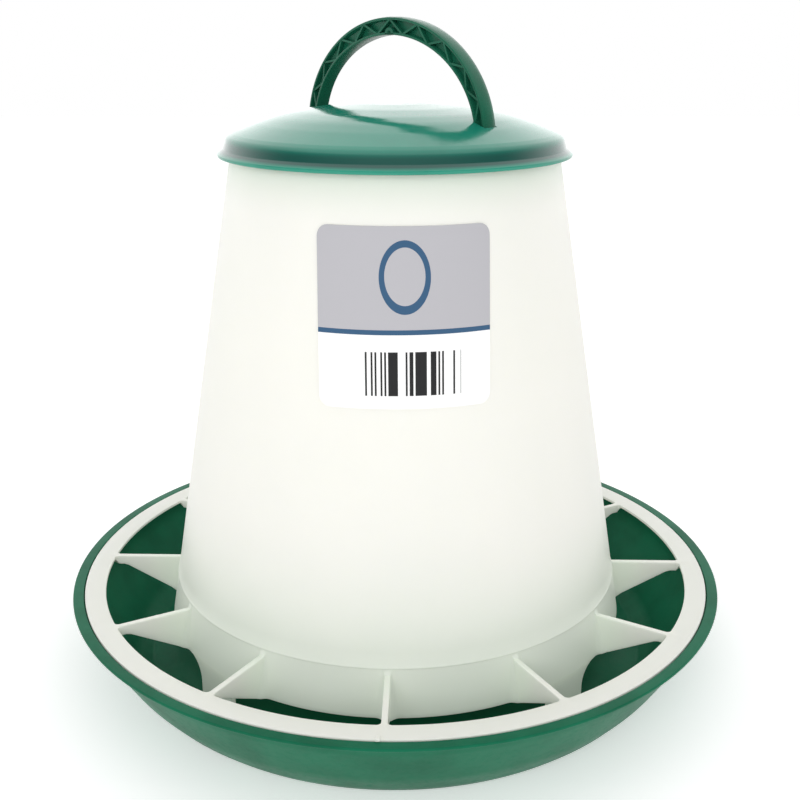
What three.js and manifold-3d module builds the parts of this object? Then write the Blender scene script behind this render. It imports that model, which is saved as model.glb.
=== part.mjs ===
// Gravity poultry feeder: a round tray, a translucent feed hopper with a spoked feeding grille,
// a lift-off lid and an arched handle that snaps into it. Millimetres, +Z up, front towards -Y,
// origin at the centre of the tray's underside.
import * as THREE from "three";
import { mergeVertices } from "three/addons/utils/BufferGeometryUtils.js";
import Module from "manifold-3d";

const wasm = await Module();
wasm.setup();

// ---------------------------------------------------------------- driving dimensions
const ROUND_STEPS = 72; // facets round every turned part
const GAP = 0.3; // clearance between pieces that touch

// Tray
const TRAY_R = 135; // outside of the rim
const TRAY_RIM_TOP = 35.7; // the grille ring stands a little proud of it
const TRAY_LIP = 1.6; // height of the lip round the rim
const TRAY_BASE_R = 104; // outer edge of the flat base
const TRAY_BASE_INNER_R = 86; // inner edge of the flat base
const TRAY_WALL = 2.4;
const CONE_TOP = 26; // spreader cone in the middle of the tray

// Hopper: a straight frustum down to the skirt's lower edge
const HOPPER_BOTTOM_Z = 20;
const HOPPER_BOTTOM_R = 95.3;
const HOPPER_TOP_Z = 211.5;
const HOPPER_TOP_R = 62.6;
const HOPPER_WALL = 2;

// Feeding grille
const RING_TOP = 36;
const RING_THICK = 1.4;
const RING_R_IN = 122;
const RING_R_OUT = 130.3;
const WEB_COUNT = 12;
const WEB_TURN = -1.8; // degrees from the front to the first web
const WEB_THICK = 2.2;
const WEB_STEP_DEPTH = 4; // depth of a web where it meets the ring
const WEB_STEP_LENGTH = 4;

// Four legs that carry the skirt on the tray's floor, each in the middle of a feed window
const LEG_COUNT = 4;
const LEG_TURN = -46.8; // degrees from the front to the first leg
const LEG_WIDTH = 20.5;
const LEG_FOOT_Z = 3.5;
const LEG_FILLET = 8; // where a leg widens into the skirt

// Pips on the ring, which sit over the tray's rim and mark how the two go together
const PIP_TURN = -2.6; // degrees from the front to the first pip
const PIP_WIDTH = 1.6;
const PIP_HEIGHT = 1;
const PIP_REACH = 1.3; // how far a pip reaches out past the ring
const PIP_INSET = 1.2; // how far it reaches in over the ring

// Lid
const LID_BRIM_R = 67.7;
const LID_BRIM_Z = 208.4;
const LID_DOME_TOP = 227.6;
const LID_WALL = 2;
const LID_BORE_R = 63.9; // inside of the lid's skirt, over the hopper's neck

// Handle
const HANDLE_TURN = -48; // degrees from +X to the line through the handle's feet
const HANDLE_R = 50; // half the span of the arch, outside
const ARCH_CENTRE_Z = 216;
const ARCH_HEIGHT = 42; // from the arch's centre to its crown, outside
const HANDLE_BAND = 4.8; // band thickness at the feet
const HANDLE_CROWN_BAND = 6.2;
const HANDLE_WIDTH = 6;
const LEG_BOTTOM_Z = 212.4; // the legs run straight down from the arch's centre to here
const BARB_TOP_Z = 217.8; // the barb on each leg hooks under the lid's dome
const BARB_REACH = 1.6;
const BARB_HEIGHT = 4.6;

// Slots in the lid that take the handle's legs
const SLOT_CLEARANCE = 0.4;
const SLOT_INNER_R = 44; // the arch leans in a little where it leaves the dome

// Label
const LABEL_TURN = 2.7; // degrees from the front to the label's middle
const LABEL_SIZE = 61;
const LABEL_CENTRE_Z = 161;
const LABEL_THICK = 0.3;
const LABEL_STEPS = 12;

// ---------------------------------------------------------------- helpers
const radians = THREE.MathUtils.degToRad;

// A three.js geometry as a manifold-3d solid.
function toSolid(geometry) {
  const plain = geometry.index ? geometry.toNonIndexed() : geometry.clone();
  const bare = new THREE.BufferGeometry();
  bare.setAttribute("position", plain.getAttribute("position"));
  const merged = mergeVertices(bare, 1e-3);
  return new wasm.Manifold(
    new wasm.Mesh({
      numProp: 3,
      vertProperties: merged.attributes.position.array,
      triVerts: new Uint32Array(merged.index.array),
    }),
  );
}

function toGeometry(solid) {
  const mesh = solid.getMesh();
  const geometry = new THREE.BufferGeometry();
  geometry.setAttribute("position", new THREE.BufferAttribute(mesh.vertProperties, 3));
  geometry.setIndex(new THREE.BufferAttribute(mesh.triVerts, 1));
  geometry.computeVertexNormals();
  return geometry;
}

// A profile of [radius, z] points, outer side first from bottom to top, turned about +Z.
function turned(profile, steps = ROUND_STEPS) {
  const points = profile.map(([r, z]) => new THREE.Vector2(r, z));
  const geometry = new THREE.LatheGeometry(points, steps);
  geometry.rotateX(Math.PI / 2);
  return geometry;
}

function boxBetween([x0, y0, z0], [x1, y1, z1]) {
  const box = new THREE.BoxGeometry(x1 - x0, y1 - y0, z1 - z0);
  box.translate((x0 + x1) / 2, (y0 + y1) / 2, (z0 + z1) / 2);
  return box;
}

function hopperRadius(z) {
  const t = (z - HOPPER_BOTTOM_Z) / (HOPPER_TOP_Z - HOPPER_BOTTOM_Z);
  return HOPPER_BOTTOM_R + (HOPPER_TOP_R - HOPPER_BOTTOM_R) * t;
}

// A thin curved plate. place(side, s, t) gives [radius, angle from the front, z] on its inner
// (side 0) or outer (side 1) face, with s from -1 at the left edge to 1 and t from 0 at the bottom.
function wrapped(columns, rows, place) {
  const positions = [];
  const indices = [];
  const row = columns + 1;
  for (const side of [0, 1]) {
    for (let j = 0; j <= rows; j++) {
      for (let i = 0; i <= columns; i++) {
        const [r, angle, z] = place(side, (2 * i) / columns - 1, j / rows);
        positions.push(r * Math.sin(angle), -r * Math.cos(angle), z);
      }
    }
  }
  const layer = row * (rows + 1);
  const quad = (a, b, c, d) => indices.push(a, b, c, a, c, d);
  for (let j = 0; j < rows; j++) {
    for (let i = 0; i < columns; i++) {
      const a = j * row + i;
      quad(layer + a, layer + a + 1, layer + a + row + 1, layer + a + row);
      quad(a, a + row, a + row + 1, a + 1);
    }
    const left = j * row;
    const right = j * row + columns;
    quad(left, layer + left, layer + left + row, left + row);
    quad(right, right + row, layer + right + row, layer + right);
  }
  for (let i = 0; i < columns; i++) {
    const top = rows * row + i;
    quad(i, i + 1, layer + i + 1, layer + i);
    quad(top, layer + top, layer + top + 1, top + 1);
  }
  const geometry = new THREE.BufferGeometry();
  geometry.setAttribute("position", new THREE.Float32BufferAttribute(positions, 3));
  geometry.setIndex(indices);
  geometry.computeVertexNormals();
  return geometry;
}

function named(name, geometry, material) {
  const mesh = new THREE.Mesh(geometry, material);
  mesh.name = name;
  return mesh;
}

const material = {
  tray: new THREE.MeshStandardMaterial({ color: 0x24684f, roughness: 0.38, metalness: 0 }),
  hopper: new THREE.MeshStandardMaterial({ color: 0xf0f3ec, roughness: 0.42, metalness: 0 }),
  lid: new THREE.MeshStandardMaterial({ color: 0x2b7d62, roughness: 0.3, metalness: 0 }),
  handle: new THREE.MeshStandardMaterial({ color: 0x1f5c47, roughness: 0.34, metalness: 0 }),
  label: new THREE.MeshStandardMaterial({ color: 0xd5d8de, roughness: 0.5, metalness: 0 }),
};

// ---------------------------------------------------------------- tray
function trayGeometry() {
  const lipBottom = TRAY_RIM_TOP - TRAY_LIP;
  const ledgeZ = RING_TOP - RING_THICK - GAP;
  const ledgeOuterR = RING_R_OUT + GAP + 0.2;
  const troughR = TRAY_BASE_R + 4; // where the sloped wall meets the trough's floor, inside
  const outside = [
    [TRAY_BASE_INNER_R, 0],
    [TRAY_BASE_R, 0],
    [TRAY_BASE_R + 5.8, 0.8],
    [TRAY_BASE_R + 9.2, 4],
    [TRAY_BASE_R + 15.4, 11.5],
    [TRAY_R - 12.8, 16],
    [TRAY_R - 10.2, 20.5],
    [TRAY_R - 4.9, 29.5],
    [TRAY_R - 3.2, lipBottom - 1],
    [TRAY_R - 1.4, lipBottom],
    [TRAY_R, lipBottom + 0.8],
    [TRAY_R, TRAY_RIM_TOP - 0.4],
    [TRAY_R - 0.6, TRAY_RIM_TOP],
    [ledgeOuterR + 0.3, TRAY_RIM_TOP],
    [ledgeOuterR, TRAY_RIM_TOP - 0.3],
  ];
  const inside = [
    [ledgeOuterR, ledgeZ],
    [TRAY_R - 7.6, ledgeZ],
    [TRAY_R - 8.8, 27.5],
    [TRAY_R - 13.2, 20],
    [troughR + 3.6, 6],
    [troughR, 3.2],
    [troughR - 4, TRAY_WALL],
    [TRAY_BASE_INNER_R + 12, TRAY_WALL],
    [TRAY_BASE_INNER_R + 3, TRAY_WALL + 1.2],
    [12, CONE_TOP - 1],
    [0, CONE_TOP],
  ];
  const underCone = [
    [0, CONE_TOP - TRAY_WALL],
    [12, CONE_TOP - TRAY_WALL - 1],
  ];
  return turned([...underCone, ...outside, ...inside]);
}

// ---------------------------------------------------------------- hopper
function hopperShellGeometry() {
  const innerBottom = HOPPER_BOTTOM_R - HOPPER_WALL;
  const innerTop = HOPPER_TOP_R - HOPPER_WALL;
  return turned([
    [innerBottom, HOPPER_BOTTOM_Z],
    [HOPPER_BOTTOM_R, HOPPER_BOTTOM_Z],
    [hopperRadius(RING_TOP), RING_TOP],
    [HOPPER_TOP_R, HOPPER_TOP_Z],
    [innerTop, HOPPER_TOP_Z],
    [hopperRadius(RING_TOP) - HOPPER_WALL, RING_TOP],
    [innerBottom, HOPPER_BOTTOM_Z],
  ]);
}

// The ring that closes the tray's mouth, with a pip at the front and one at the back.
function grilleRingGeometry() {
  const bottom = RING_TOP - RING_THICK;
  const ring = turned([
    [RING_R_IN, bottom],
    [RING_R_OUT, bottom],
    [RING_R_OUT, RING_TOP],
    [RING_R_IN, RING_TOP],
    [RING_R_IN, bottom],
  ]);
  let solid = toSolid(ring);
  const pipBottom = TRAY_RIM_TOP + GAP;
  for (const side of [0, 180]) {
    const pip = boxBetween(
      [-PIP_WIDTH / 2, -RING_R_OUT - PIP_REACH, pipBottom],
      [PIP_WIDTH / 2, -RING_R_OUT + PIP_INSET, pipBottom + PIP_HEIGHT],
    );
    pip.rotateZ(radians(PIP_TURN + side));
    solid = solid.add(toSolid(pip));
  }
  return toGeometry(solid);
}

// One web: a thin upright plate from the ring in to the hopper's skirt, drawn in its radial plane.
function grilleWebGeometry() {
  const outerR = RING_R_IN * Math.cos(Math.PI / ROUND_STEPS) - GAP;
  const topInnerR = hopperRadius(RING_TOP) + GAP;
  const bottomInnerR = HOPPER_BOTTOM_R + GAP;
  const outline = new THREE.Shape();
  outline.moveTo(topInnerR, RING_TOP);
  outline.lineTo(bottomInnerR, HOPPER_BOTTOM_Z + 0.6);
  outline.lineTo(bottomInnerR + 1.5, HOPPER_BOTTOM_Z + 0.6);
  outline.lineTo(outerR - WEB_STEP_LENGTH, RING_TOP - WEB_STEP_DEPTH);
  outline.lineTo(outerR, RING_TOP - WEB_STEP_DEPTH);
  outline.lineTo(outerR, RING_TOP);
  outline.closePath();
  const plate = new THREE.ExtrudeGeometry(outline, { depth: WEB_THICK, bevelEnabled: false });
  plate.translate(0, 0, -WEB_THICK / 2);
  plate.rotateX(Math.PI / 2);
  return plate;
}

// One leg: a curved plate that goes on down from the skirt's lower edge, wider at its top.
function hopperLegGeometry(turn) {
  const top = HOPPER_BOTTOM_Z - GAP;
  return wrapped(8, 16, (side, s, t) => {
    const z = LEG_FOOT_Z + (top - LEG_FOOT_Z) * t;
    const intoFillet = Math.max(0, z - (top - LEG_FILLET));
    const widening = LEG_FILLET - Math.sqrt(LEG_FILLET ** 2 - intoFillet ** 2);
    const r = HOPPER_BOTTOM_R - (side ? 0 : HOPPER_WALL);
    const angle = (s * (LEG_WIDTH / 2 + widening)) / HOPPER_BOTTOM_R;
    return [r, radians(turn) + angle, z];
  });
}

// ---------------------------------------------------------------- lid
function lidDomeGeometry() {
  const outside = [
    [LID_BORE_R, LID_BRIM_Z],
    [LID_BRIM_R, LID_BRIM_Z],
    [LID_BRIM_R, LID_BRIM_Z + 1.2],
    [LID_BRIM_R - 2.1, LID_BRIM_Z + 3],
    [LID_BRIM_R - 3.2, LID_BRIM_Z + 6.2],
    [LID_BRIM_R - 4.4, LID_BRIM_Z + 7.8],
    [LID_BRIM_R - 7.3, LID_BRIM_Z + 9.1],
    [52.4, 220.5],
    [44.7, 223],
    [37, 224.8],
    [26, 226.4],
    [13, 227.3],
    [0, LID_DOME_TOP],
  ];
  const seatZ = HOPPER_TOP_Z + GAP; // the lid rests on the hopper's neck here
  const inside = [
    [0, LID_DOME_TOP - LID_WALL],
    [26, 226.4 - LID_WALL],
    [44.7, 223 - LID_WALL],
    [57.5, 217.6 - LID_WALL],
    [59, seatZ],
    [LID_BORE_R, seatZ],
    [LID_BORE_R, LID_BRIM_Z],
  ];
  return turned([...outside, ...inside]);
}

// The dome with a slot for each leg of the handle. +X runs along the line through the legs.
function lidGeometry() {
  const halfWidth = HANDLE_WIDTH / 2 + SLOT_CLEARANCE;
  const outerR = HANDLE_R + SLOT_CLEARANCE;
  let solid = toSolid(lidDomeGeometry());
  for (const end of [1, -1]) {
    const slot = boxBetween(
      [Math.min(end * SLOT_INNER_R, end * outerR), -halfWidth, LEG_BOTTOM_Z],
      [Math.max(end * SLOT_INNER_R, end * outerR), halfWidth, LID_DOME_TOP + 5],
    );
    solid = solid.subtract(toSolid(slot));
  }
  return toGeometry(solid);
}

// ---------------------------------------------------------------- handle
// A flat outline in the arch's plane, given as a Shape in x and z, made as wide as the handle.
function handlePlate(outline) {
  const plate = new THREE.ExtrudeGeometry(outline, {
    depth: HANDLE_WIDTH,
    bevelEnabled: false,
    curveSegments: 28,
  });
  plate.translate(0, 0, -HANDLE_WIDTH / 2);
  plate.rotateX(Math.PI / 2);
  return plate;
}

// A half-elliptic arch, thicker at the crown, on two straight legs with a barb on each.
function handleGeometry() {
  const innerR = HANDLE_R - HANDLE_BAND;
  const barbBottom = BARB_TOP_Z - BARB_HEIGHT;
  const barbR = HANDLE_R + BARB_REACH;
  const outline = new THREE.Shape();
  outline.moveTo(HANDLE_R, LEG_BOTTOM_Z);
  outline.lineTo(HANDLE_R, barbBottom);
  outline.lineTo(barbR, BARB_TOP_Z - 1);
  outline.lineTo(barbR, BARB_TOP_Z);
  outline.lineTo(HANDLE_R, BARB_TOP_Z);
  const barbAngle = Math.asin((BARB_TOP_Z - ARCH_CENTRE_Z) / ARCH_HEIGHT);
  outline.absellipse(
    0, ARCH_CENTRE_Z, HANDLE_R, ARCH_HEIGHT, barbAngle, Math.PI - barbAngle, false,
  );
  outline.lineTo(-HANDLE_R, BARB_TOP_Z);
  outline.lineTo(-barbR, BARB_TOP_Z);
  outline.lineTo(-barbR, BARB_TOP_Z - 1);
  outline.lineTo(-HANDLE_R, barbBottom);
  outline.lineTo(-HANDLE_R, LEG_BOTTOM_Z);
  outline.lineTo(-innerR, LEG_BOTTOM_Z);
  outline.absellipse(
    0, ARCH_CENTRE_Z, innerR, ARCH_HEIGHT - HANDLE_CROWN_BAND, Math.PI, 0, true,
  );
  outline.lineTo(innerR, LEG_BOTTOM_Z);
  outline.closePath();
  return handlePlate(outline);
}

// ---------------------------------------------------------------- label
// A thin patch wrapped on the hopper's cone.
function labelGeometry() {
  return wrapped(LABEL_STEPS, LABEL_STEPS, (side, s, t) => {
    const z = LABEL_CENTRE_Z + LABEL_SIZE * (t - 0.5);
    const r = hopperRadius(z) + GAP + side * LABEL_THICK;
    return [r, radians(LABEL_TURN) + (s * LABEL_SIZE) / 2 / r, z];
  });
}

// ---------------------------------------------------------------- assembly
const feeder = new THREE.Group();

feeder.add(named("tray", trayGeometry(), material.tray));
feeder.add(named("hopper_shell", hopperShellGeometry(), material.hopper));
feeder.add(named("grille_ring", grilleRingGeometry(), material.hopper));

for (let i = 0; i < WEB_COUNT; i++) {
  const name = "grille_web_" + String(i + 1).padStart(2, "0");
  const web = named(name, grilleWebGeometry(), material.hopper);
  web.rotation.z = radians(-90 + WEB_TURN + (i * 360) / WEB_COUNT);
  feeder.add(web);
}

for (let i = 0; i < LEG_COUNT; i++) {
  const leg = hopperLegGeometry(LEG_TURN + (i * 360) / LEG_COUNT);
  feeder.add(named("hopper_leg_0" + (i + 1), leg, material.hopper));
}

const top = new THREE.Group();
top.rotation.z = radians(HANDLE_TURN);
top.add(named("lid", lidGeometry(), material.lid));
top.add(named("handle", handleGeometry(), material.handle));
feeder.add(top);

feeder.add(named("label", labelGeometry(), material.label));

export default feeder;
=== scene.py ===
# Gravity poultry feeder: fine meshes and materials for a tray, a translucent hopper with its
# feeding grille, a lid, a handle and a label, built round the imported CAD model.
# Outlines are in millimetres, in the frame's axes; make_object() turns them into metres.
import math

import bmesh
import bpy
from mathutils import Matrix, Vector


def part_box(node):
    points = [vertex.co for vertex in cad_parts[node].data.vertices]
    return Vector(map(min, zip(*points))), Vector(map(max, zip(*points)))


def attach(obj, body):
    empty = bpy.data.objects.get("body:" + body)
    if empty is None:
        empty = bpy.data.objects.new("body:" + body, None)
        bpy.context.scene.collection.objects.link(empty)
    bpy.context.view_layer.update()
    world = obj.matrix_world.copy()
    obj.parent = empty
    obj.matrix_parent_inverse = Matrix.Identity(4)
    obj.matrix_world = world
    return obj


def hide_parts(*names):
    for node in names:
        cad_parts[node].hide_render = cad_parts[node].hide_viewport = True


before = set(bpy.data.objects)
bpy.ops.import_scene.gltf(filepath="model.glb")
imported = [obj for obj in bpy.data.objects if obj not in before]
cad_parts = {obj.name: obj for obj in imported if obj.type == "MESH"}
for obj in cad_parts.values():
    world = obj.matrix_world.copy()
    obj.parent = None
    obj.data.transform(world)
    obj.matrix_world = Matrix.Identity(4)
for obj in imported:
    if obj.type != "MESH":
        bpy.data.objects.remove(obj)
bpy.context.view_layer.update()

# ---------------------------------------------------------------- sizes, in millimetres
MM = 0.001


def in_mm(corner):
    return [value / MM for value in corner]


tray_high = in_mm(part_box("tray")[1])
shell_low, shell_high = map(in_mm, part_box("hopper_shell"))
web_high = in_mm(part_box("grille_web_01")[1])
lid_low, lid_high = map(in_mm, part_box("lid"))
handle_low, handle_high = map(in_mm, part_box("handle"))
label_low, label_high = map(in_mm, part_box("label"))

ROUND_STEPS = 240
SHARP_ANGLE = math.radians(38)
BEVEL_ANGLE = math.radians(40)

TRAY_R = tray_high[0]
RIM_TOP = tray_high[2]
LIP_BOTTOM = RIM_TOP - 1.6
BASE_R = 104.0
BASE_INNER_R = 86.0

SKIRT_BOTTOM = shell_low[2]
SKIRT_R = shell_high[0]
NECK_TOP = shell_high[2]
NECK_R = 62.6
HOPPER_WALL = 2.0
CREASE_Z = 38.0

WEB_COUNT = 12
WEB_TURN = math.radians(-1.8)
WEB_HALF = 1.1
RING_TOP = web_high[2]
RING_BOTTOM = RING_TOP - 1.4
RING_IN = 122.0
RING_OUT = 130.3
RING_CORNER = 1.6
STEP_Z = RING_TOP - 4.0
STEP_R = RING_IN - 4.3
SKIRT_CORNER_TOP = 1.0
SKIRT_CORNER_BOTTOM = 4.0
PIP_TURN = math.radians(-2.6)
PIP_INSET = 1.2
PIP_REACH = 1.3
PIP_HALF = 0.8
LEG_COUNT = 4
LEG_TURN = math.radians(-46.8)
LEG_WIDTH = 20.5
LEG_FOOT = 3.5
LEG_FILLET = 8.0
EDGE = 0.35

BRIM_R = 67.7
BRIM_Z = lid_low[2]
DOME_TOP = lid_high[2]
LID_BORE_R = 63.9

HANDLE_TURN = math.radians(-48)
HANDLE_R = 50.0
ARCH_Z = 216.0
ARCH_HEIGHT = handle_high[2] - ARCH_Z
FOOT_BAND = 4.8
CROWN_BAND = 6.2
HANDLE_WIDTH = 6.0
LEG_BOTTOM = handle_low[2]

LABEL_TURN = math.radians(2.7)
LABEL_SIZE = 61.0
LABEL_Z = (label_low[2] + label_high[2]) / 2
LABEL_CORNER = 4.0


def hopper_radius(z):
    t = (z - SKIRT_BOTTOM) / (NECK_TOP - SKIRT_BOTTOM)
    return SKIRT_R + (NECK_R - SKIRT_R) * t


# ---------------------------------------------------------------- mesh helpers
def lerp(a, b, t):
    return a + (b - a) * t


def rounded(points, steps=6):
    """A polyline of (r, z) or (r, z, corner radius) with its corners rounded."""
    flat = [Vector(p[:2]) for p in points]
    out = []
    for i, corner in enumerate(flat):
        radius = points[i][2] if len(points[i]) > 2 else 0
        if not radius or i in (0, len(flat) - 1):
            out.append(corner)
            continue
        back = flat[i - 1] - corner
        ahead = flat[i + 1] - corner
        turn = back.angle(ahead)
        reach = radius / math.tan(turn / 2)
        reach = min(reach, back.length * 0.49, ahead.length * 0.49)
        start = corner + back.normalized() * reach
        end = corner + ahead.normalized() * reach
        for k in range(steps + 1):
            t = k / steps
            out.append(start * (1 - t) ** 2 + corner * 2 * t * (1 - t) + end * t**2)
    return [tuple(p) for p in out]


def revolve(profile, steps=ROUND_STEPS):
    """Turns a closed (r, z) outline about Z. A point on the axis becomes one vertex."""
    verts = []
    rings = []
    for r, z in profile:
        if r < 1e-6:
            rings.append([len(verts)] * steps)
            verts.append((0, 0, z))
            continue
        rings.append(list(range(len(verts), len(verts) + steps)))
        for k in range(steps):
            a = 2 * math.pi * k / steps
            verts.append((r * math.cos(a), r * math.sin(a), z))
    faces = []
    for i, ring in enumerate(rings):
        above = rings[(i + 1) % len(rings)]
        for k in range(steps):
            n = (k + 1) % steps
            face = [ring[k], ring[n], above[n], above[k]]
            face = list(dict.fromkeys(face))
            if len(face) > 2:
                faces.append(face)
    return verts, faces


# Six faces for eight corners: four round the bottom, then four round the top.
BOX_FACES = [(0, 3, 2, 1), (4, 5, 6, 7)]
BOX_FACES += [(k, (k + 1) % 4, (k + 1) % 4 + 4, k + 4) for k in range(4)]


def upright_box(x_range, half_y, z_range):
    """Vertices and faces of a box that lies across the X axis in plan."""
    x0, x1 = x_range
    plan = [(x0, -half_y), (x1, -half_y), (x1, half_y), (x0, half_y)]
    return [(x, y, z) for z in z_range for x, y in plan], BOX_FACES


def two_faced_grid(columns, rows):
    """Faces of a thin plate whose vertices are two grids, one behind the other, each with
    columns + 1 points in a row and rows + 1 rows."""
    row = columns + 1
    layer = row * (rows + 1)
    faces = []
    for j in range(rows):
        for k in range(columns):
            a = j * row + k
            face = [a, a + 1, a + row + 1, a + row]
            faces += [face, [i + layer for i in face]]
    rim = list(range(row))
    rim += [j * row + columns for j in range(1, rows + 1)]
    rim += [layer - 1 - k for k in range(1, row)]
    rim += [j * row for j in range(rows - 1, 0, -1)]
    for a, b in zip(rim, rim[1:] + rim[:1]):
        faces.append([a, b, b + layer, a + layer])
    return faces


def smooth(mesh):
    mesh.shade_smooth()
    mesh.set_sharp_from_angle(angle=SHARP_ANGLE)


def add_object(name, data):
    obj = bpy.data.objects.new(name, data)
    bpy.context.scene.collection.objects.link(obj)
    return obj


def make_object(name, verts, faces, turn=0.0):
    mesh = bpy.data.meshes.new(name)
    bm = bmesh.new()
    made = [bm.verts.new(Vector(v) * MM) for v in verts]
    for face in faces:
        try:
            bm.faces.new([made[i] for i in face])
        except ValueError:
            continue
    bmesh.ops.remove_doubles(bm, verts=bm.verts, dist=2e-6)
    bmesh.ops.dissolve_degenerate(bm, edges=bm.edges, dist=1e-6)
    bmesh.ops.recalc_face_normals(bm, faces=bm.faces)
    if turn:
        bm.transform(Matrix.Rotation(turn, 4, "Z"))
    bm.to_mesh(mesh)
    bm.free()
    smooth(mesh)
    return add_object(name, mesh)


def apply_modifiers(obj):
    graph = bpy.context.evaluated_depsgraph_get()
    mesh = bpy.data.meshes.new_from_object(obj.evaluated_get(graph))
    obj.modifiers.clear()
    obj.data = mesh
    smooth(mesh)


def bevel(obj, width, segments=3):
    mod = obj.modifiers.new("Bevel", "BEVEL")
    mod.width = width * MM
    mod.segments = segments
    mod.limit_method = "ANGLE"
    mod.angle_limit = BEVEL_ANGLE
    mod.use_clamp_overlap = True
    apply_modifiers(obj)


def cut(obj, cutter):
    mod = obj.modifiers.new("Cut", "BOOLEAN")
    mod.operation = "DIFFERENCE"
    mod.solver = "EXACT"
    mod.object = cutter
    apply_modifiers(obj)
    bpy.data.objects.remove(cutter)


def join(target, *others):
    bm = bmesh.new()
    bm.from_mesh(target.data)
    for other in others:
        bm.from_mesh(other.data)
    bm.to_mesh(target.data)
    bm.free()
    for other in others:
        bpy.data.objects.remove(other)


# ---------------------------------------------------------------- node helpers
def linear(r, g, b):
    """A display colour from 0 to 255 as scene-linear RGBA."""

    def channel(value):
        value /= 255
        return value / 12.92 if value <= 0.04045 else ((value + 0.055) / 1.055) ** 2.4

    return (channel(r), channel(g), channel(b), 1.0)


class Shader:
    """A material's node tree, with short ways to add its nodes."""

    def __init__(self, name):
        self.material = bpy.data.materials.new(name)
        self.material.use_nodes = True
        self.tree = self.material.node_tree
        self.principled = self.tree.nodes["Principled BSDF"]

    def put(self, socket, value):
        if isinstance(value, bpy.types.NodeSocket):
            self.tree.links.new(value, socket)
        else:
            socket.default_value = value

    def node(self, kind, inputs=None, **settings):
        made = self.tree.nodes.new(kind)
        for key, value in settings.items():
            setattr(made, key, value)
        for key, value in (inputs or {}).items():
            self.put(made.inputs[key], value)
        return made

    def set(self, **inputs):
        for key, value in inputs.items():
            self.put(self.principled.inputs[key.replace("_", " ")], value)

    def place(self):
        return self.node("ShaderNodeTexCoord").outputs["Object"]

    def height(self):
        split = self.node("ShaderNodeSeparateXYZ", {"Vector": self.place()})
        return split.outputs["Z"]

    def math(self, operation, a, b=0.0):
        made = self.node("ShaderNodeMath", operation=operation)
        self.put(made.inputs[0], a)
        self.put(made.inputs[1], b)
        return made.outputs[0]

    def noise(self, scale, detail=3.0, roughness=0.5):
        made = self.node(
            "ShaderNodeTexNoise",
            {
                "Vector": self.place(),
                "Scale": scale,
                "Detail": detail,
                "Roughness": roughness,
            },
        )
        return made.outputs[0]

    def spread(self, value, low, high, to_low, to_high, smooth=False):
        made = self.node(
            "ShaderNodeMapRange",
            {
                "Value": value,
                "From Min": low,
                "From Max": high,
                "To Min": to_low,
                "To Max": to_high,
            },
            interpolation_type="SMOOTHSTEP" if smooth else "LINEAR",
        )
        return made.outputs[0]

    def mix(self, share, a, b):
        made = self.node("ShaderNodeMix", data_type="RGBA")
        self.put(made.inputs[0], share)
        self.put(made.inputs[6], a)
        self.put(made.inputs[7], b)
        return made.outputs[2]

    def bump(self, height, strength, distance):
        made = self.node(
            "ShaderNodeBump",
            {"Height": height, "Strength": strength, "Distance": distance},
        )
        self.put(self.principled.inputs["Normal"], made.outputs[0])


def scuffed_plastic(name, base, dark, rough, grain=0.06):
    """Moulded plastic: faint flow marks, a fine grain and light handling scuffs."""
    s = Shader(name)
    flow = s.noise(38.0, 4.0, 0.55)
    scuff = s.noise(420.0, 2.0, 0.7)
    mould = s.noise(2600.0, 2.0, 0.6)
    share = s.spread(flow, 0.35, 0.7, 0.0, 1.0, smooth=True)
    s.set(Base_Color=s.mix(share, base, dark))
    worn = s.spread(scuff, 0.45, 0.75, 0.0, 0.07)
    s.set(Roughness=s.math("ADD", s.spread(flow, 0.3, 0.7, rough, rough + 0.05), worn))
    s.set(IOR=1.5)
    s.bump(mould, grain, 0.0002)
    return s


def finish_piece(obj, material, body, slot, *nodes):
    obj.data.materials.clear()
    obj.data.materials.append(material)
    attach(obj, body)
    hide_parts(*nodes)
    return obj


# ---------------------------------------------------------------- tray
# The ledge stays clear of the webs' roots, which sweep up under the ring.
LEDGE_DROP = 0.9


def tray_piece():
    ledge_z = RING_BOTTOM - LEDGE_DROP
    ledge_r = RING_OUT + 0.5
    outside = [
        (0, 23.6),
        (12, 22.6, 8),
        (BASE_INNER_R, 0, 1.2),
        (BASE_R + 5.0, 0, 2.0),
        (BASE_R + 9.2, 4, 10),
        (BASE_R + 15.4, 11.5, 40),
        (TRAY_R - 10.2, 20.5, 60),
        (TRAY_R - 4.9, 29.5, 30),
        (TRAY_R - 3.0, LIP_BOTTOM - 0.8, 1.0),
        (TRAY_R, LIP_BOTTOM + 0.6, 0.5),
        (TRAY_R, RIM_TOP, 0.5),
        (ledge_r, RIM_TOP, 0.3),
        (ledge_r, ledge_z, 0.3),
        (TRAY_R - 7.6, ledge_z, 0.5),
        (TRAY_R - 8.8, 27.5, 20),
        (TRAY_R - 13.2, 20, 60),
        (BASE_R + 7.6, 6, 12),
        (BASE_R + 1, 2.4, 4),
        (BASE_INNER_R + 9, 2.4, 12),
        (12, 25.2, 10),
        (0, 26),
    ]
    obj = make_object("tray_moulding", *revolve(rounded(outside, 8)))
    s = scuffed_plastic("tray_green", linear(18, 106, 76), linear(15, 93, 66), 0.36)
    s.set(Specular_IOR_Level=0.1)
    return finish_piece(obj, s.material, "tray", "tray_green", "tray")


# ---------------------------------------------------------------- hopper and grille
ARC_STEPS = 12
CORNER_STEPS = 8
SIDE_STEPS = 12
DEPTH_STEPS = 14
WALL_ROWS = 36
SKIRT_CORNER_GROWTH = 1.15
RIM_R = RING_OUT - EDGE
HUB_TOP_R = hopper_radius(CREASE_Z)
HUB_BOTTOM_R = SKIRT_R - HOPPER_WALL
CREASE_BEAD = [(0.25, 0.22), (0.6, 0.34), (1.0, 0.22), (1.3, 0.0)]


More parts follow.
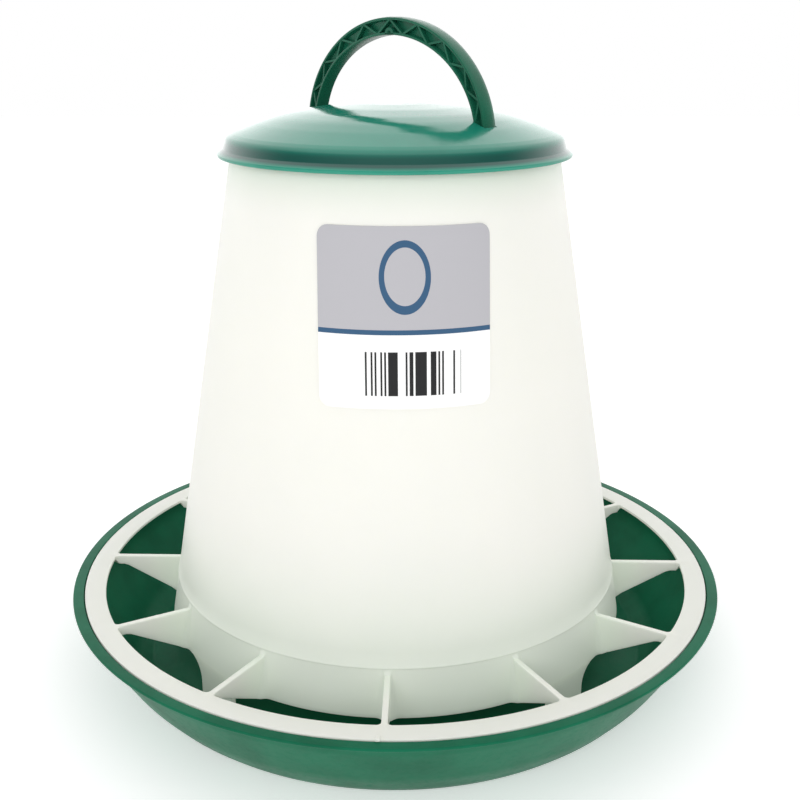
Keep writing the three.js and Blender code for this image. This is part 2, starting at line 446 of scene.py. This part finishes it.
def window_edge(half, ring_r, ring_corner, skirt_r, skirt_corner):
    """Half the outline of a window in plan, from the middle of the ring's arc, down one web's
    side, to the middle of the skirt's arc. Each point is (stretch, share of it, x, y)."""
    middle = math.pi / WEB_COUNT
    out = []
    ring_y = half + ring_corner
    ring_x = math.sqrt((ring_r - ring_corner) ** 2 - ring_y**2)
    ring_turn = math.atan2(ring_y, ring_x)
    skirt_y = half + skirt_corner
    skirt_x = math.sqrt((skirt_r + skirt_corner) ** 2 - skirt_y**2)
    skirt_turn = math.atan2(skirt_y, skirt_x)
    for k in range(ARC_STEPS):
        a = lerp(middle, ring_turn, k / ARC_STEPS)
        out.append(("ring", 0, ring_r * math.cos(a), ring_r * math.sin(a)))
    for k in range(CORNER_STEPS):
        a = lerp(ring_turn, -math.pi / 2, k / CORNER_STEPS)
        x = ring_x + ring_corner * math.cos(a)
        out.append(("ring_corner", k / CORNER_STEPS, x, ring_y + ring_corner * math.sin(a)))
    for k in range(SIDE_STEPS):
        out.append(("side", 0, lerp(ring_x, skirt_x, k / SIDE_STEPS), half))
    for k in range(CORNER_STEPS):
        a = lerp(1.5 * math.pi, math.pi + skirt_turn, k / CORNER_STEPS)
        x = skirt_x + skirt_corner * math.cos(a)
        out.append(("skirt_corner", k / CORNER_STEPS, x, skirt_y + skirt_corner * math.sin(a)))
    for k in range(ARC_STEPS + 1):
        a = lerp(skirt_turn, middle, k / ARC_STEPS)
        out.append(("skirt", k / ARC_STEPS, skirt_r * math.cos(a), skirt_r * math.sin(a)))
    return out, (ring_turn, ring_x, skirt_turn, skirt_x)


def backing(edge, turns, rim_r, hub_r):
    """For each point of a window's edge, the point that the flat face beside it reaches: the
    ring's outside, the middle of the web, or the hopper's own circle."""
    ring_turn, ring_x, skirt_turn, skirt_x = turns
    out = []
    for stretch, share, x, y in edge:
        if stretch == "ring":
            a = math.atan2(y, x)
            out.append((rim_r * math.cos(a), rim_r * math.sin(a)))
        elif stretch == "ring_corner" and share <= 0.5:
            a = ring_turn * (1 - 2 * share)
            out.append((rim_r * math.cos(a), rim_r * math.sin(a)))
        elif stretch == "ring_corner":
            out.append((lerp(rim_r, ring_x, 2 * share - 1), 0))
        elif stretch == "side":
            out.append((x, 0))
        elif stretch == "skirt_corner" and share <= 0.5:
            out.append((lerp(skirt_x, hub_r, 2 * share), 0))
        elif stretch == "skirt_corner":
            a = skirt_turn * (2 * share - 1)
            out.append((hub_r * math.cos(a), hub_r * math.sin(a)))
        else:
            a = math.atan2(y, x)
            out.append((hub_r * math.cos(a), hub_r * math.sin(a)))
    return out


LOWER_EDGE = rounded(
    [
        (0, SKIRT_BOTTOM),
        (SKIRT_R + 1.5, SKIRT_BOTTOM, 2),
        (STEP_R, STEP_Z, 3),
        (RING_IN - 0.9, STEP_Z, 0.4),
        (RING_IN, RING_BOTTOM, 0.4),
        (RING_OUT + 5, RING_BOTTOM),
    ]
)


def lower_z(x, y):
    """Height of the grille's underside at a point in plan."""
    r = math.hypot(x, y)
    for (r0, z0), (r1, z1) in zip(LOWER_EDGE, LOWER_EDGE[1:]):
        if r <= r1:
            return lerp(z0, z1, (r - r0) / max(r1 - r0, 1e-9))
    return LOWER_EDGE[-1][1]


def upper_z(stretch, share):
    if stretch == "skirt":
        return CREASE_Z
    if stretch == "skirt_corner":
        return lerp(RING_TOP, CREASE_Z, share)
    return RING_TOP


def grille_levels():
    """(share of the depth, edge inset, drop from the top, rise from the bottom), top first."""
    quarter = [math.radians(a) for a in (0, 30, 60, 90)]
    top = [(0, EDGE * (1 - math.sin(a)), EDGE * (1 - math.cos(a)), 0) for a in quarter]
    bottom = [(1, i, 0, d) for _, i, d, _ in reversed(top)]
    between = [(k / DEPTH_STEPS, 0, EDGE, EDGE) for k in range(1, DEPTH_STEPS)]
    return top + between + bottom


class Surface:
    """Vertices and faces that are added row by row."""

    def __init__(self):
        self.verts = []
        self.faces = []

    def add(self, points):
        start = len(self.verts)
        self.verts.extend(points)
        return list(range(start, len(self.verts)))

    def skin(self, a, b):
        """Faces between two rows, as far as the first one goes."""
        for k in range(len(a) - 1):
            self.faces.append([a[k], a[k + 1], b[k + 1], b[k]])


def grille_row(share, inset, drop, rise):
    """The window's edge in plan and in space at one level of the grille's depth."""
    skirt_z = lerp(CREASE_Z, SKIRT_BOTTOM, share)
    edge, turns = window_edge(
        WEB_HALF - inset,
        RING_IN + inset,
        RING_CORNER + inset,
        hopper_radius(skirt_z) - (0 if share == 0 else inset),
        lerp(SKIRT_CORNER_TOP, SKIRT_CORNER_BOTTOM, share**SKIRT_CORNER_GROWTH),
    )
    row = []
    for stretch, part, x, y in edge:
        low = lower_z(x, y)
        high = upper_z(stretch, part)
        if share == 0:
            z = high - (drop if stretch != "skirt" else 0)
        elif share == 1:
            z = low + rise
        else:
            z = lerp(high - EDGE, low + EDGE, share)
        row.append((x, y, z))
    return edge, turns, row


def flat_top_points(edge, turns):
    """The line that the grille's upper face reaches back to, rising to the hopper's crease."""
    points = []
    for (stretch, part, _, _), (x, y) in zip(edge, backing(edge, turns, RIM_R, HUB_TOP_R)):
        rising = min(1.0, 2 * part) if stretch == "skirt_corner" else 0.0
        z = CREASE_Z if stretch == "skirt" else lerp(RING_TOP, CREASE_Z, rising)
        points.append((x, y, z))
    return points


def add_ring_rim(surface, top_ids, flat_top, flat_bottom):
    """The ring's outer wall, with both its edges rounded."""
    count = ARC_STEPS + CORNER_STEPS // 2 + 1
    previous = top_ids[:count]
    for z, sign, steps in ((RING_TOP, 1, (30, 60, 90)), (RING_BOTTOM, -1, (60, 30, 0))):
        for degrees in steps:
            a = math.radians(degrees)
            scale = (RIM_R + EDGE * math.sin(a)) / RIM_R
            height = z - sign * (EDGE - EDGE * math.cos(a))
            points = [(x * scale, y * scale, height) for x, y, _ in flat_top[:count]]
            if degrees == 0:
                points = flat_bottom[:count]
            ids = surface.add(points)
            surface.skin(previous, ids)
            previous = ids


def wall_outline():
    """(r, z) up the outside of the hopper from its crease, over the neck's edge and down the
    inside, and how many of those points are outside."""
    out = [(HUB_TOP_R, CREASE_Z)]
    out += [(hopper_radius(CREASE_Z + dz) + dr, CREASE_Z + dz) for dz, dr in CREASE_BEAD]
    bead_top = CREASE_Z + CREASE_BEAD[-1][0]
    for k in range(1, WALL_ROWS + 1):
        z = lerp(bead_top, NECK_TOP - 0.6, k / WALL_ROWS)
        out.append((hopper_radius(z), z))
    out += [
        (NECK_R - 0.15, NECK_TOP - 0.2),
        (NECK_R - 0.5, NECK_TOP),
        (NECK_R - HOPPER_WALL + 0.5, NECK_TOP),
        (NECK_R - HOPPER_WALL + 0.1, NECK_TOP - 0.3),
    ]
    outside_count = len(out)
    for k in range(WALL_ROWS + 1):
        z = lerp(NECK_TOP - 1, SKIRT_BOTTOM, k / WALL_ROWS)
        out.append((hopper_radius(z) - HOPPER_WALL, z))
    return out, outside_count


def add_hopper_wall(surface, flat_top, flat_bottom):
    """The hopper's wall over this half sector, from the grille's top round to its underside."""

    def turns_of(points):
        start = ARC_STEPS + CORNER_STEPS + SIDE_STEPS + CORNER_STEPS // 2
        return [math.atan2(y, x) for x, y, _ in points[start:]]

    top_turns = turns_of(flat_top)
    low_turns = turns_of(flat_bottom)
    outline, outside_count = wall_outline()
    previous = None
    for i, (r, z) in enumerate(outline):
        share = 0 if i < outside_count else (NECK_TOP - z) / (NECK_TOP - SKIRT_BOTTOM)
        turns_here = [lerp(a, b, share) for a, b in zip(top_turns, low_turns)]
        ids = surface.add([(r * math.cos(a), r * math.sin(a), z) for a in turns_here])
        if previous:
            surface.skin(previous, ids)
        previous = ids


def half_sector():
    """Vertices and faces of half of one sector of the grille and of the hopper above it, with
    the web along +X."""
    surface = Surface()
    rows = [grille_row(*level) for level in grille_levels()]
    grid = [surface.add(row) for _, _, row in rows]
    for a, b in zip(grid, grid[1:]):
        surface.skin(a, b)

    edge, turns, _ = rows[0]
    flat_top = flat_top_points(edge, turns)
    top_ids = surface.add(flat_top)
    first_skirt = [stretch for stretch, *_ in edge].index("skirt")
    surface.skin(top_ids[: first_skirt + 1], grid[0])

    edge, turns, _ = rows[-1]
    reached = backing(edge, turns, RIM_R, HUB_BOTTOM_R)
    flat_bottom = [(x, y, lower_z(x, y)) for x, y in reached]
    surface.skin(grid[-1], surface.add(flat_bottom))

    add_ring_rim(surface, top_ids, flat_top, flat_bottom)
    add_hopper_wall(surface, flat_top, flat_bottom)
    return surface.verts, surface.faces


def pip(turn):
    """A small raised mark on the ring's outer edge, reaching over the gap to the rim."""
    across = (RING_OUT - PIP_INSET, RING_OUT + PIP_REACH)
    heights = (RIM_TOP + 0.3, RIM_TOP + 1.3)
    piece = make_object("pip", *upright_box(across, PIP_HALF, heights), turn - math.pi / 2)
    bevel(piece, 0.22)
    return piece


def leg(turn):
    """A curved plate that goes on down from the skirt's lower edge, wider at its top."""
    rows, columns = 24, 12
    top = SKIRT_BOTTOM + 0.4
    verts = []
    for r in (SKIRT_R - HOPPER_WALL + 0.1, SKIRT_R - 0.1):
        for j in range(rows + 1):
            z = lerp(LEG_FOOT, top, j / rows)
            into_fillet = min(max(0.0, z - (SKIRT_BOTTOM - LEG_FILLET)), LEG_FILLET)
            widening = LEG_FILLET - math.sqrt(LEG_FILLET**2 - into_fillet**2)
            for k in range(columns + 1):
                a = (2 * k / columns - 1) * (LEG_WIDTH / 2 + widening) / SKIRT_R
                verts.append((r * math.cos(a), r * math.sin(a), z))
    piece = make_object("leg", verts, two_faced_grid(columns, rows), turn - math.pi / 2)
    bevel(piece, 0.3)
    return piece


def hopper_piece():
    half_verts, half_faces = half_sector()
    verts = []
    faces = []
    for k in range(WEB_COUNT):
        turn = 2 * math.pi * k / WEB_COUNT - math.pi / 2 + WEB_TURN
        c, s = math.cos(turn), math.sin(turn)
        for mirror in (1, -1):
            start = len(verts)
            verts += [(c * x - s * y * mirror, s * x + c * y * mirror, z) for x, y, z in half_verts]
            faces += [[i + start for i in face[::mirror]] for face in half_faces]
    obj = make_object("hopper_moulding", verts, faces)
    extras = [pip(PIP_TURN + turn) for turn in (0, math.pi)]
    extras += [leg(LEG_TURN + 2 * math.pi * k / LEG_COUNT) for k in range(LEG_COUNT)]
    join(obj, *extras)
    nodes = ["hopper_shell", "grille_ring"]
    nodes += [f"grille_web_{k + 1:02d}" for k in range(WEB_COUNT)]
    nodes += [f"hopper_leg_{k + 1:02d}" for k in range(LEG_COUNT)]
    return finish_piece(obj, hopper_material(), "hopper", "hopper_white", *nodes)


# Radii and heights in metres between which the hopper's painted shade and painted glow change.
WALL_TO_RING = (0.098, 0.112)
SHADE_OVER_TRAY = (0.024, 0.085)
SHADE_UNDER_LID = (0.190, 0.209)
GLOW_FADES_IN = (0.050, 0.150)
GLOW_FADES_OUT = (0.150, 0.200)
# Emission colours of the painted glow: over the tray, in the middle and elsewhere.
GLOW_OVER_TRAY = (0.150, 0.152, 0.135, 1.0)
GLOW_IN_MIDDLE = (0.045, 0.043, 0.030, 1.0)
GLOW_ELSEWHERE = (0.035, 0.035, 0.028, 1.0)


def hopper_material():
    """Milky polypropylene that lets light through: whiter where the wall is backed by air. Near the
    tray the wall is painted with a green-grey shade, for the tray's green light seen through it and
    the shade in the trough, and under the lid it is painted with the lid's shadow. The faint
    painted glow stands for daylight that comes through from the far side of the thin wall, and is
    painted stronger over the tray."""
    s = Shader("hopper_white")
    split = s.node("ShaderNodeSeparateXYZ", {"Vector": s.place()})
    x, y, z = split.outputs["X"], split.outputs["Y"], split.outputs["Z"]
    across = s.math("ADD", s.math("MULTIPLY", x, x), s.math("MULTIPLY", y, y))
    wall = s.spread(s.math("SQRT", across), *WALL_TO_RING, 1.0, 0.15, smooth=True)
    # Painted shade over the tray, on the hopper's wall only, and a painted shadow under the lid.
    low = s.math("MULTIPLY", s.spread(z, *SHADE_OVER_TRAY, 1.0, 0.0, smooth=True), wall)
    high = s.spread(z, *SHADE_UNDER_LID, 0.0, 0.75, smooth=True)
    cloud = s.noise(22.0, 3.0, 0.5)
    painted_shade = s.math("MULTIPLY", s.math("MAXIMUM", low, high), s.spread(cloud, 0.3, 0.7, 0.85, 1.0))
    share = s.spread(cloud, 0.3, 0.7, 0.0, 1.0)
    white = s.mix(share, linear(243, 242, 234), linear(240, 240, 232))
    # The green-grey colour of the painted shade, mixed into the white.
    s.set(Base_Color=s.mix(painted_shade, white, linear(212, 222, 208)))
    # Painted glow: light painted into the wall as emission, brightest over the tray.
    middle = s.math("MULTIPLY", s.spread(z, *GLOW_FADES_IN, 0.0, 1.0, smooth=True), wall)
    middle = s.math("MULTIPLY", middle, s.spread(z, *GLOW_FADES_OUT, 1.0, 0.0, smooth=True))
    glow = s.mix(low, GLOW_ELSEWHERE, GLOW_OVER_TRAY)
    s.set(Emission_Color=s.mix(middle, glow, GLOW_IN_MIDDLE), Emission_Strength=1.0)
    s.set(Subsurface_Weight=0.3, Subsurface_Scale=0.006, Subsurface_Radius=(1.0, 1.0, 0.85))
    s.set(IOR=1.49)
    drag = s.noise(160.0, 2.0, 0.6)
    s.set(Roughness=s.spread(drag, 0.3, 0.7, 0.36, 0.44))
    s.bump(s.noise(1500.0, 2.0, 0.6), 0.05, 0.0002)
    return s.material


# ---------------------------------------------------------------- lid
SLOT_GAP = 0.25
# Heights in metres between which the lid's upright wall is painted darker than the dome, a painted
# shade.
WALL_SHADE_FOOT = (0.2098, 0.2108)
WALL_SHADE_TOP = (0.2130, 0.2172)


def slot_cutter(turn):
    """A box through the dome, a little larger than one end of the handle."""
    across = (HANDLE_R - FOOT_BAND - 1.0, HANDLE_R + SLOT_GAP)
    heights = (LEG_BOTTOM - 2, DOME_TOP + 5)
    box = upright_box(across, HANDLE_WIDTH / 2 + SLOT_GAP, heights)
    return make_object("slot", *box, turn)


def lid_piece():
    seat_z = NECK_TOP + 0.3
    profile = rounded(
        [
            (0, DOME_TOP),
            (13, DOME_TOP - 0.3, 60),
            (26, DOME_TOP - 1.3, 60),
            (37, DOME_TOP - 2.9, 60),
            (44.7, DOME_TOP - 4.6, 60),
            (52.4, DOME_TOP - 7.1, 50),
            (61.6, DOME_TOP - 10.6, 5),
            (BRIM_R - 3.4, BRIM_Z + 7.2, 3),
            (BRIM_R - 2.1, BRIM_Z + 3.0, 0.8),
            (BRIM_R, BRIM_Z + 1.3, 0.5),
            (BRIM_R, BRIM_Z, 0.5),
            (LID_BORE_R, BRIM_Z, 0.6),
            (LID_BORE_R, seat_z, 0.4),
            (59.5, seat_z, 0.4),
            (57.5, DOME_TOP - 12, 3),
            (44.7, DOME_TOP - 6.6, 50),
            (26, DOME_TOP - 3.3, 60),
            (0, DOME_TOP - 2),
        ],
        8,
    )
    obj = make_object("lid_moulding", *revolve(profile))
    for end in (0, math.pi):
        cut(obj, slot_cutter(HANDLE_TURN + end))
    s = scuffed_plastic("lid_green", linear(34, 142, 119), linear(29, 133, 111), 0.09, 0.02)
    # Painted shade: the lid's upright wall, below the dome, is given a darker green than the dome.
    under_dome = s.spread(s.height(), *WALL_SHADE_TOP, 1.0, 0.0, smooth=True)
    wall = s.math("MULTIPLY", under_dome, s.spread(s.height(), *WALL_SHADE_FOOT, 0.0, 1.0))
    dome = s.principled.inputs["Base Color"].links[0].from_socket
    # The darker green of the painted shade on the upright wall.
    s.set(Base_Color=s.mix(wall, dome, linear(20, 78, 69)))
    return finish_piece(obj, s.material, "lid", "lid_green", "lid")


# ---------------------------------------------------------------- handle
RIB_PITCH = math.radians(17.5)
RIB_PAIRS = 9
RIB_THICK = 0.75
RIB_INSET = 0.6
FLANGE = 0.9
CORE_HALF = 0.7
CORE_SINK = 0.2
ARCH_STEPS = 96
NOTCH_R = 1.15
NOTCH_LIFT = 0.35
NOTCH_STEPS = 32
BOSS_R = 2.35
BOSS_STEPS = 16
BOSS_OVERRUN = 0.12


def arch_pair(a):
    """The outer and the inner point of the arch at an angle, in its own plane."""
    outer = Vector((HANDLE_R * math.cos(a), 0, ARCH_Z + ARCH_HEIGHT * math.sin(a)))
    inner_r = HANDLE_R - FOOT_BAND
    inner_height = ARCH_HEIGHT - CROWN_BAND
    inner = Vector((inner_r * math.cos(a), 0, ARCH_Z + inner_height * math.sin(a)))
    return outer, inner


def arch_sweep():
    """The I-section carried up one leg, over the arch and down the other leg."""
    stations = [arch_pair(math.pi * k / ARCH_STEPS) for k in range(ARCH_STEPS + 1)]
    drop = Vector((0, 0, LEG_BOTTOM - ARCH_Z))
    stations.insert(0, tuple(p + drop for p in stations[0]))
    stations.append(tuple(p + drop for p in stations[-1]))
    half = HANDLE_WIDTH / 2
    verts = []
    for outer, inner in stations:
        depth = (outer - inner).length
        up = (outer - inner).normalized()
        side = [
            (0, 0),
            (0, half),
            (FLANGE, half),
            (FLANGE + 0.25, CORE_HALF),
            (depth - FLANGE - 0.25, CORE_HALF),
            (depth - FLANGE, half),
            (depth, half),
            (depth + 0.25, half * 0.45),
        ]
        other = [(v, -y) for v, y in reversed(side[1:])]
        for v, y in side + other:
            verts.append(inner + up * v + Vector((0, y, 0)))
    count = len(verts) // len(stations)
    faces = []
    for i in range(len(stations) - 1):
        for k in range(count):
            n = (k + 1) % count
            a, b = i * count, (i + 1) * count
            faces.append([a + k, a + n, b + n, b + k])
    faces.append(list(range(count)))
    faces.append(list(range(len(verts) - count, len(verts))))
    return verts, faces


def zigzag():
    """The ends of the ribs, by turns near the outer and the inner edge of the arch."""
    points = []
    for k in range(-RIB_PAIRS, RIB_PAIRS + 1):
        outer, inner = arch_pair(math.pi / 2 + RIB_PITCH * k / 2)
        up = (outer - inner).normalized()
        points.append(outer - up * RIB_INSET if k % 2 == 0 else inner + up * RIB_INSET)
    return points


def rib(start, end, side):
    """A thin upright plate on one side face, between two points of the arch's plane."""
    along = (end - start).normalized()
    across = Vector((-along.z, 0, along.x)) * RIB_THICK / 2
    foot = Vector((0, side * (CORE_HALF - CORE_SINK), 0))
    crest = Vector((0, side * (HANDLE_WIDTH / 2 - 0.3), 0))
    base = [start - across, end - across, end + across, start + across]
    corners = [p + foot for p in base] + [p + crest for p in base]
    return make_object("rib", corners, BOX_FACES, HANDLE_TURN)


def notch_middle():
    return arch_pair(math.pi / 2)[1].z + NOTCH_LIFT


def notch_cutter():
    """A round bar that cuts the small notch under the crown."""
    n = NOTCH_STEPS
    middle = notch_middle()
    verts = []
    for y in (-5, 5):
        for k in range(n):
            a = 2 * math.pi * k / n
            verts.append((NOTCH_R * math.cos(a), y, middle + NOTCH_R * math.sin(a)))
    faces = [list(range(n)), list(range(n, 2 * n))]
    faces += [[k, (k + 1) % n, (k + 1) % n + n, k + n] for k in range(n)]
    return make_object("notch", verts, faces, HANDLE_TURN)


def boss(side):
    """Half a ring round the notch, on one side face."""
    middle = notch_middle()
    verts = []
    for y in (CORE_HALF - CORE_SINK, HANDLE_WIDTH / 2):
        for k in range(BOSS_STEPS + 1):
            a = lerp(-BOSS_OVERRUN, math.pi + BOSS_OVERRUN, k / BOSS_STEPS)
            for r in (NOTCH_R + 0.02, BOSS_R):
                verts.append((r * math.cos(a), side * y, middle + r * math.sin(a)))
    up = len(verts) // 2
    faces = []
    for i in range(0, 2 * BOSS_STEPS, 2):
        n = i + 2
        faces.append([i, i + 1, n + 1, n])
        faces.append([i + up, i + up + 1, n + up + 1, n + up])
        faces.append([i, n, n + up, i + up])
        faces.append([i + 1, n + 1, n + up + 1, i + up + 1])
    faces += [[i, i + 1, i + 1 + up, i + up] for i in (0, 2 * BOSS_STEPS)]
    return make_object("boss", verts, faces, HANDLE_TURN)


def handle_piece():
    obj = make_object("handle_moulding", *arch_sweep(), HANDLE_TURN)
    bevel(obj, 0.22, 2)
    cut(obj, notch_cutter())
    ends = zigzag()
    extras = []
    for side in (1, -1):
        extras += [rib(a, b, side) for a, b in zip(ends, ends[1:])]
        extras.append(boss(side))
    join(obj, *extras)
    smooth(obj.data)
    s = scuffed_plastic("handle_green", linear(26, 100, 76), linear(22, 88, 66), 0.24, 0.05)
    s.set(Specular_IOR_Level=0.25)
    return finish_piece(obj, s.material, "lid", "handle_green", "handle")


# ---------------------------------------------------------------- label
LABEL_LIFTS = (0.05, 0.22)
LABEL_COLUMNS = 48
LABEL_ROWS = 36
# The print's layout, in half label sizes from the label's middle.
RULE = (-0.18, -0.125)
EGG_MIDDLE = 0.47
EGG_HALF_WIDTH = 0.29
EGG_HALF_HEIGHT = 0.40
EGG_TAPER = 0.28
EGG_LINE = 0.62
BARS_ACROSS = (-0.477, 0.636)
BARS_UP = (-0.853, -0.367)
BARS_PER_HALF = 46.0
BAR_THRESHOLD = 0.46


def label_piece():
    half = LABEL_SIZE / 2
    flat = half - LABEL_CORNER
    round_top = [flat + LABEL_CORNER * math.sin(math.radians(d)) for d in range(90, -1, -15)]
    straight = [lerp(flat, -flat, k / LABEL_ROWS) for k in range(1, LABEL_ROWS)]
    heights = round_top + straight + [-h for h in reversed(round_top)]
    verts = []
    uvs = []
    for lift in LABEL_LIFTS:
        for v in heights:
            past = max(0.0, abs(v) - flat)
            width = flat + math.sqrt(max(0.0, LABEL_CORNER**2 - past**2))
            for k in range(LABEL_COLUMNS + 1):
                u = width * (2 * k / LABEL_COLUMNS - 1)
                r = hopper_radius(LABEL_Z + v) + lift
                a = LABEL_TURN + u / r
                verts.append((r * math.sin(a), -r * math.cos(a), LABEL_Z + v))
                uvs.append((u / half, v / half))
    faces = two_faced_grid(LABEL_COLUMNS, len(heights) - 1)
    mesh = bpy.data.meshes.new("label_print")
    mesh.from_pydata([Vector(v) * MM for v in verts], [], faces)
    layer_uv = mesh.uv_layers.new(name="print")
    for loop in mesh.loops:
        layer_uv.data[loop.index].uv = uvs[loop.vertex_index]
    bm = bmesh.new()
    bm.from_mesh(mesh)
    bmesh.ops.recalc_face_normals(bm, faces=bm.faces)
    bm.to_mesh(mesh)
    bm.free()
    smooth(mesh)
    obj = add_object("label_print", mesh)
    return finish_piece(obj, label_material(), "hopper", "label_paper", "label")


def label_material():
    """A printed label with a grey panel, a blue rule, an egg outline and a block of plain bars."""
    s = Shader("label_paper")
    uv = s.node("ShaderNodeUVMap", uv_map="print").outputs[0]
    split = s.node("ShaderNodeSeparateXYZ", {"Vector": uv})
    u, v = split.outputs["X"], split.outputs["Y"]

    def above(value, limit):
        return s.math("GREATER_THAN", value, limit)

    def below(value, limit):
        return s.math("LESS_THAN", value, limit)

    def both(a, b):
        return s.math("MULTIPLY", a, b)

    def within(value, limits):
        return both(above(value, limits[0]), below(value, limits[1]))

    blue = linear(50, 90, 125)
    grey = linear(184, 183, 188)
    white = linear(250, 250, 250)
    print_colour = s.mix(above(v, RULE[1]), white, grey)
    print_colour = s.mix(within(v, RULE), print_colour, blue)
    up = s.math("SUBTRACT", v, EGG_MIDDLE)
    taper = s.math("ADD", 1.0, s.math("MULTIPLY", up, EGG_TAPER))
    x = s.math("DIVIDE", u, EGG_HALF_WIDTH)
    y = s.math("DIVIDE", up, EGG_HALF_HEIGHT)
    egg = s.math("MULTIPLY", s.math("ADD", both(x, x), both(y, y)), taper)
    ring = both(below(egg, 1.0), above(egg, EGG_LINE))
    print_colour = s.mix(ring, print_colour, blue)
    bars = s.node(
        "ShaderNodeTexWhiteNoise",
        {"W": s.math("FLOOR", s.math("MULTIPLY", u, BARS_PER_HALF))},
        noise_dimensions="1D",
    ).outputs["Value"]
    dark_bars = both(within(u, BARS_ACROSS), within(v, BARS_UP))
    dark_bars = both(dark_bars, above(bars, BAR_THRESHOLD))
    print_colour = s.mix(dark_bars, print_colour, linear(28, 28, 30))
    s.set(Base_Color=print_colour, Roughness=s.spread(s.noise(300.0), 0.3, 0.7, 0.42, 0.5))
    s.bump(s.noise(900.0, 3.0), 0.04, 0.0001)
    return s.material


# ---------------------------------------------------------------- floor, light and camera
ROOM_LIGHT = 0.74
CAMERA_SIDE = 0.15
BACK_WALL = 1.7
CEILING = 1.5
FLOOR_GLOW = 0.36
# Name, place and size in metres, and power in watts.
LIGHTS = (
    ("key", (-0.25, -1.1, 0.6), 0.6, 3.2),
    ("fill", (0.6, -0.9, 0.4), 0.6, 0.4),
)
LIGHT_AIM = Vector((0, 0, 0.13))
# In metres, and degrees below level and aside of straight ahead.
CAMERA_PLACE = (0, -0.436, 0.254)
CAMERA_DOWN = 18.48
CAMERA_ASIDE = -0.25


def studio_world():
    """An even white room. Reflections see a brighter back wall and ceiling, and a darker side
    behind the camera."""
    world = bpy.data.worlds.new("studio")
    world.use_nodes = True
    tree = world.node_tree
    background = tree.nodes["Background"]
    background.inputs["Color"].default_value = (1.0, 1.0, 1.0, 1.0)

    def add(kind, **settings):
        made = tree.nodes.new(kind)
        for key, value in settings.items():
            setattr(made, key, value)
        return made

    def spread(value, low, high, to_low, to_high):
        made = add("ShaderNodeMapRange", interpolation_type="SMOOTHSTEP")
        tree.links.new(value, made.inputs["Value"])
        limits = {"From Min": low, "From Max": high, "To Min": to_low, "To Max": to_high}
        for key, number in limits.items():
            made.inputs[key].default_value = number
        return made.outputs[0]

    def choose(share, a, b):
        made = add("ShaderNodeMix", data_type="FLOAT")
        for index, value in ((0, share), (2, a), (3, b)):
            if isinstance(value, float):
                made.inputs[index].default_value = value
            else:
                tree.links.new(value, made.inputs[index])
        return made.outputs[0]

    split = add("ShaderNodeSeparateXYZ")
    tree.links.new(add("ShaderNodeTexCoord").outputs["Generated"], split.inputs["Vector"])
    wall = spread(split.outputs["Y"], -0.3, 0.6, CAMERA_SIDE, BACK_WALL)
    mirrored = choose(spread(split.outputs["Z"], 0.35, 0.8, 0.0, 1.0), wall, CEILING)
    path = add("ShaderNodeLightPath")
    level = choose(path.outputs["Is Glossy Ray"], ROOM_LIGHT, mirrored)
    level = choose(path.outputs["Is Camera Ray"], level, 1.0)
    tree.links.new(level, background.inputs["Strength"])
    return world


def studio():
    scene = bpy.context.scene
    scene.view_settings.view_transform = "Standard"
    scene.world = studio_world()
    bpy.ops.mesh.primitive_plane_add(size=6, location=(0, 0, -0.0002))
    floor = bpy.context.object
    floor.name = "floor"
    paper = Shader("floor_paper")
    pale = paper.spread(paper.noise(2.0), 0.3, 0.7, 0.0, 1.0)
    paper.set(Base_Color=paper.mix(pale, linear(252, 252, 252), linear(250, 250, 250)))
    paper.set(Roughness=0.9, Emission_Color=(1.0, 1.0, 1.0, 1.0), Emission_Strength=FLOOR_GLOW)
    floor.data.materials.append(paper.material)
    for name, place, size, power in LIGHTS:
        light = bpy.data.lights.new(name, "AREA")
        light.size = size
        light.energy = power
        lamp = add_object(name, light)
        lamp.location = place
        lamp.visible_glossy = False
        aim = LIGHT_AIM - Vector(place)
        lamp.rotation_euler = aim.to_track_quat("-Z", "Y").to_euler()


def camera():
    data = bpy.data.cameras.new("camera")
    data.lens = 50.0
    data.sensor_width = 36.0
    data.clip_start = 0.01
    obj = add_object("camera", data)
    obj.location = CAMERA_PLACE
    obj.rotation_euler = (math.radians(90 - CAMERA_DOWN), 0, math.radians(CAMERA_ASIDE))
    bpy.context.scene.camera = obj


camera()
studio()
tray_piece()
hopper_piece()
lid_piece()
handle_piece()
label_piece()
